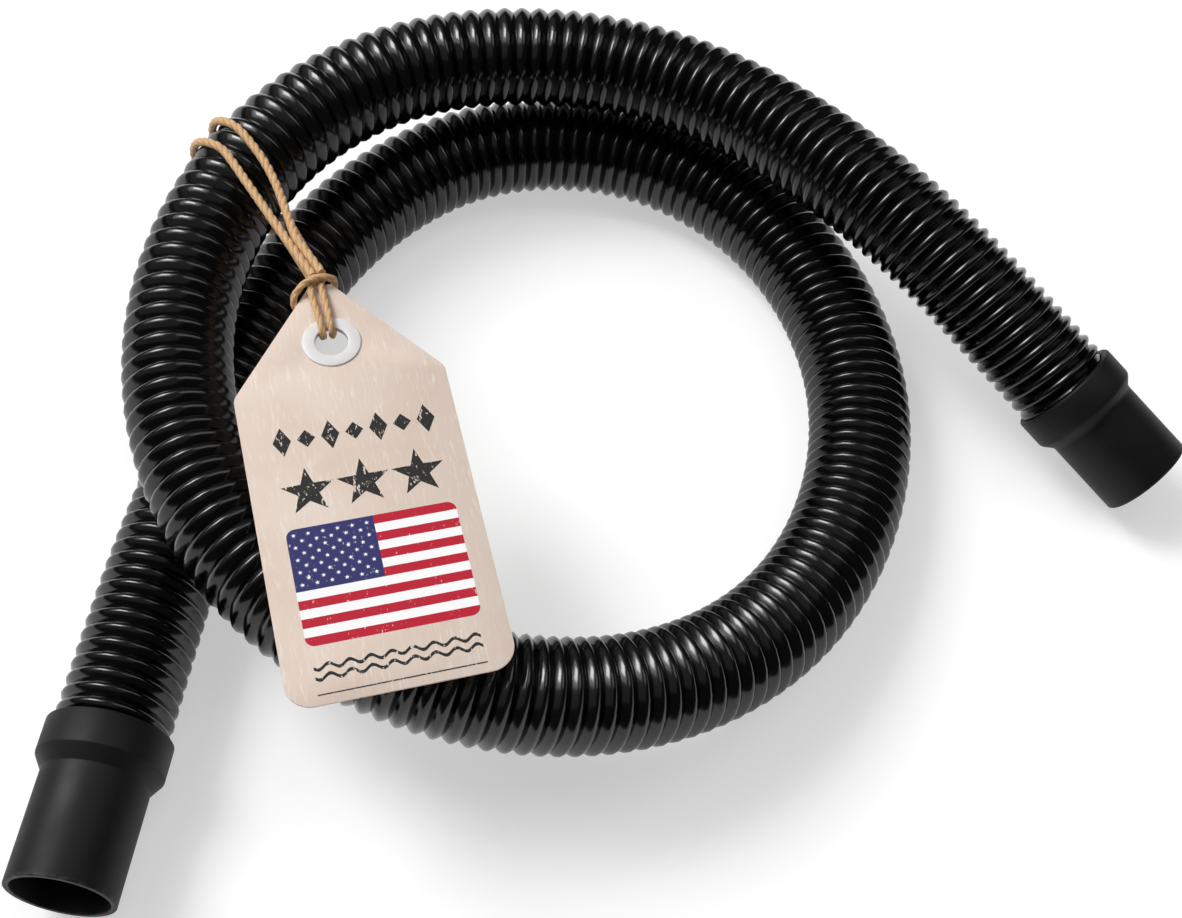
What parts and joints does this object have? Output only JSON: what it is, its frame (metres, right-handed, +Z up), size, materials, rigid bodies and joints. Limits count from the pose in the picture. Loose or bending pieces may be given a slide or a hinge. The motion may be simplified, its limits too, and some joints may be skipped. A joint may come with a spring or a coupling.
{
  "type": "pool vacuum hose",
  "caption": "Spiral-ribbed flexible hose lying in a coil, with a swivelling push-on cuff, a fixed push-on cuff and a card tag tied on with twine.",
  "frame": {"origin": "centre of the bounding box's bottom face, on the floor the coil lies on", "axes": "+X along the coil's length, towards the fixed cuff; +Y from the swivel cuff's mouth along its axis into the hose; +Z up"},
  "size_m": [0.4722, 0.4505, 0.1071],
  "materials": {
    "hose_plastic": "glossy black blow-moulded polyethylene",
    "cuff_plastic": "satin black moulded plastic",
    "sleeve_plastic": "plain dark moulded plastic",
    "seal_rubber": "flat black rubber",
    "tag_paper": "uncoated beige tag card, printed",
    "eyelet_plastic": "white plastic",
    "twine_fibre": "twisted tan twine"
  },
  "bodies": {
    "hose_body": {"hose": "hose_plastic", "swivel_sleeve": "sleeve_plastic", "swivel_seal": "seal_rubber", "fixed_cuff": "cuff_plastic", "twine_turn_left": "twine_fibre", "twine_turn_right": "twine_fibre"},
    "swivel": {"swivel_cuff": "cuff_plastic"},
    "tag": {"tag_card": "tag_paper", "tag_eyelet": "eyelet_plastic", "tag_eyelet_washer": "eyelet_plastic", "twine_knot": "twine_fibre", "twine_lead_left": "twine_fibre", "twine_lead_right": "twine_fibre"}
  },
  "joints": [
    {"name": "swivel_turn", "type": "hinge", "parent": "hose_body", "child": "swivel", "pos_m": [-0.2, -0.2, 0.0255], "axis": [0, 1, 0], "continuous": true},
    {"name": "tag_lift", "type": "hinge", "parent": "hose_body", "child": "tag", "pos_m": [-0.152, 0.022, 0.1024], "axis": [-0.9272, -0.3746, 0], "range_deg": [0, 90]}
  ]
}
